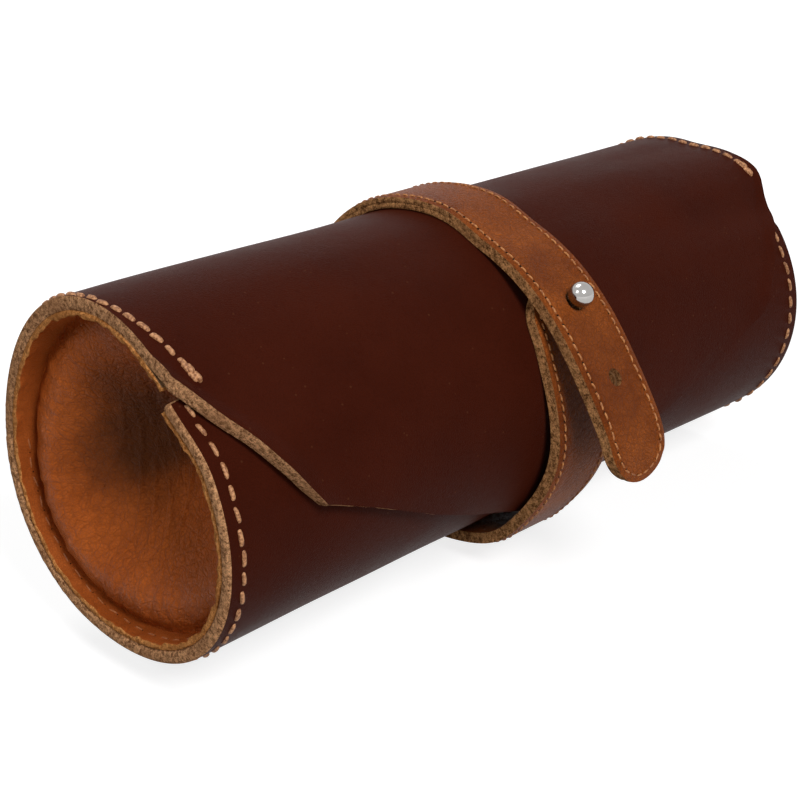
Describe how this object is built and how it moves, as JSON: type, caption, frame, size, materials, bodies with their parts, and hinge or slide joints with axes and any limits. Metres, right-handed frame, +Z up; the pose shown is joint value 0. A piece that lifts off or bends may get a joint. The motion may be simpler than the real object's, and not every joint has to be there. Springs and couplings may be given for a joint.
{
  "type": "watch roll",
  "caption": "Leather watch roll: a tube with padded sunken ends, a pointed flap, a strap that buttons over a ball stud, and bays with pillows inside.",
  "frame": {"origin": "middle of the footprint, on the surface the roll lies on", "axes": "+X along the roll, -Y to the front where the flap and the tongue close, +Z up"},
  "size_m": [0.215, 0.1156, 0.0928],
  "materials": {
    "cover_leather": "smooth waxed oxblood brown with raw cut edges",
    "lining_leather": "soft tan lining leather with a dull sheen",
    "divider_leather": "tan leather over a stiff core",
    "end_board": "bare fibre board",
    "pillow_suede": "brushed suede",
    "pillow_foam": "soft foam",
    "strap_leather": "tan bridle leather with raw cut edges",
    "strap_lining": "tan leather, flesh side out",
    "thread": "waxed orange-tan thread",
    "nickel": "polished",
    "steel": "plain"
  },
  "bodies": {
    "roll_body": {"cover_body": "cover_leather", "cover_body_lining": "lining_leather", "left_end_cushion": "lining_leather", "right_end_cushion": "lining_leather", "left_end_board": "end_board", "right_end_board": "end_board", "left_divider": "divider_leather", "right_divider": "divider_leather", "left_pillow_suede": "pillow_suede", "middle_pillow_suede": "pillow_suede", "right_pillow_suede": "pillow_suede", "left_pillow_core": "pillow_foam", "middle_pillow_core": "pillow_foam", "right_pillow_core": "pillow_foam", "left_rim_thread": "thread", "right_rim_thread": "thread", "strap_back_face": "strap_leather", "strap_back_lining": "strap_lining", "strap_back_thread": "thread", "strap_anchor_thread": "thread"},
    "lid": {"flap": "cover_leather", "lid_lining": "lining_leather", "left_lid_thread": "thread", "right_lid_thread": "thread", "strap_top_face": "strap_leather", "strap_top_lining": "strap_lining", "strap_top_thread": "thread"},
    "tongue": {"tongue_face": "strap_leather", "tongue_lining": "strap_lining", "tongue_thread": "thread", "button_hole_lips": "strap_leather"},
    "stud_strap": {"stud_strap_face": "strap_leather", "stud_strap_lining": "strap_lining", "stud_strap_thread": "thread", "stud_ball": "nickel", "stud_screw": "steel"}
  },
  "joints": [
    {"name": "lid_open", "type": "hinge", "parent": "roll_body", "child": "lid", "pos_m": [0.002, 0.04094, 0.08131], "axis": [-1, 0, 0], "range_deg": [0, 90]},
    {"name": "tongue_lift", "type": "hinge", "parent": "lid", "child": "tongue", "pos_m": [0.002, -0.01146, 0.08793], "axis": [-1, 0, 0], "range_deg": [0, 99.5], "deforming": ["button_hole_lips"]},
    {"name": "stud_strap_drop", "type": "hinge", "parent": "roll_body", "child": "stud_strap", "pos_m": [0.002, -0.02279, 0.00811], "axis": [-1, 0, 0], "range_deg": [-81.5, 0]}
  ],
  "couplings": [
    {"joint": "tongue_lift", "follows": "lid_open", "ratio": 1.1},
    {"joint": "stud_strap_drop", "follows": "lid_open", "ratio": -0.9}
  ]
}
